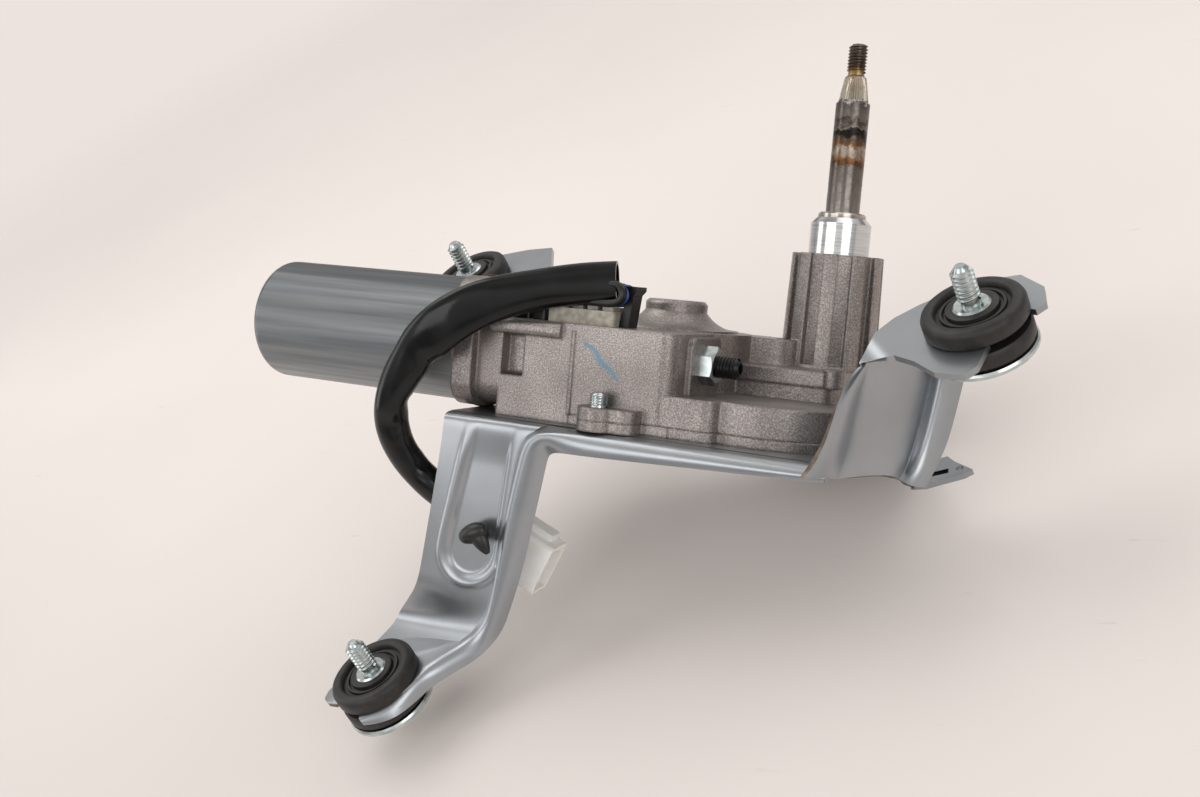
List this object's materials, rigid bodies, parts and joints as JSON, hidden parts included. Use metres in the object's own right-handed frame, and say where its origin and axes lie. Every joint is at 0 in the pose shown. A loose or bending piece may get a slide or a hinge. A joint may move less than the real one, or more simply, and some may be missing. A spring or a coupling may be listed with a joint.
{
  "type": "wiper motor",
  "caption": "Rear wiper motor: worm gear motor with a crank and sector linkage, on a zinc sheet bracket with three rubber mounts.",
  "frame": {"origin": "right mounting stud, where it leaves its sleeve", "axes": "+Z along the mounting studs, away from the part; +X towards the right mount's side"},
  "size_m": [0.2556, 0.2082, 0.1166],
  "materials": {
    "zinc_sheet": "satin",
    "can_steel": "satin",
    "die_cast": "matte",
    "bright_steel": "polished",
    "zinc_bright": "polished",
    "black_steel": "satin",
    "rubber": "matte",
    "black_plastic": "satin",
    "brown_plastic": "satin",
    "nylon": "satin",
    "pvc_sleeve": "gloss",
    "copper": "satin",
    "magnet": "matte",
    "bronze": "satin",
    "carbon": "matte",
    "gear_nylon": "satin"
  },
  "bodies": {
    "root": {"motor_can": "can_steel", "can_magnets": "magnet", "rear_bearing": "bronze", "front_bearing": "bronze", "brush_card": "brown_plastic", "brushes": "carbon", "brush_springs": "bright_steel", "thrust_ball": "bright_steel", "gear_housing": "die_cast", "cover_plate": "die_cast", "bracket_screws": "zinc_bright", "wheel_axle": "bright_steel", "spindle_bushing": "bright_steel", "dust_washer": "bright_steel", "adjuster_screw": "black_steel", "adjuster_nut": "zinc_bright", "bracket": "zinc_sheet", "grommet_right": "rubber", "grommet_front": "rubber", "grommet_back": "rubber", "mount_sleeves": "zinc_bright", "mount_washers": "zinc_bright", "mount_studs": "zinc_bright", "terminal_block": "brown_plastic", "terminal_posts": "black_plastic", "terminal_clip": "black_steel", "harness_tube": "pvc_sleeve", "harness_wires": "black_plastic", "connector": "nylon", "connector_pins": "copper", "connector_clip": "black_plastic"},
    "armature": {"armature_shaft": "bright_steel", "armature_core": "can_steel", "armature_windings": "copper", "commutator": "copper"},
    "wheel": {"worm_wheel": "gear_nylon", "crank_pin": "bright_steel"},
    "output": {"spindle": "bright_steel", "pinion": "bright_steel"},
    "link": {"link_plate": "bright_steel", "link_pin": "bright_steel"},
    "sector": {"sector_gear": "bright_steel"}
  },
  "joints": [
    {"name": "armature_spin", "type": "hinge", "parent": "root", "child": "armature", "pos_m": [-0.06172, -0.00173, -0.01549], "axis": [0.9744, 0, -0.225], "continuous": true},
    {"name": "wheel_turn", "type": "hinge", "parent": "root", "child": "wheel", "pos_m": [-0.10663, 0.01792, -0.02066], "axis": [0.182, 0.5878, 0.7883], "continuous": true},
    {"name": "spindle_sweep", "type": "hinge", "parent": "root", "child": "output", "pos_m": [-0.0722, 0.0272, -0.0609], "axis": [0.182, 0.5878, 0.7883], "range_deg": [-57, 57]},
    {"name": "link_swing", "type": "hinge", "parent": "root", "child": "link", "pos_m": [-0.0722, 0.0272, -0.0609], "axis": [0.182, 0.5878, 0.7883], "range_deg": [-19.5, 19.5]},
    {"name": "sector_swing", "type": "hinge", "parent": "link", "child": "sector", "pos_m": [-0.07212, 0.01321, -0.04414], "axis": [0.182, 0.5878, 0.7883], "range_deg": [-21.5, 21.5]}
  ],
  "couplings": [
    {"joint": "wheel_turn", "follows": "armature_spin", "ratio": 0.025641},
    {"joint": "link_swing", "follows": "spindle_sweep", "ratio": 0.33333},
    {"joint": "sector_swing", "follows": "spindle_sweep", "ratio": -0.36364}
  ]
}
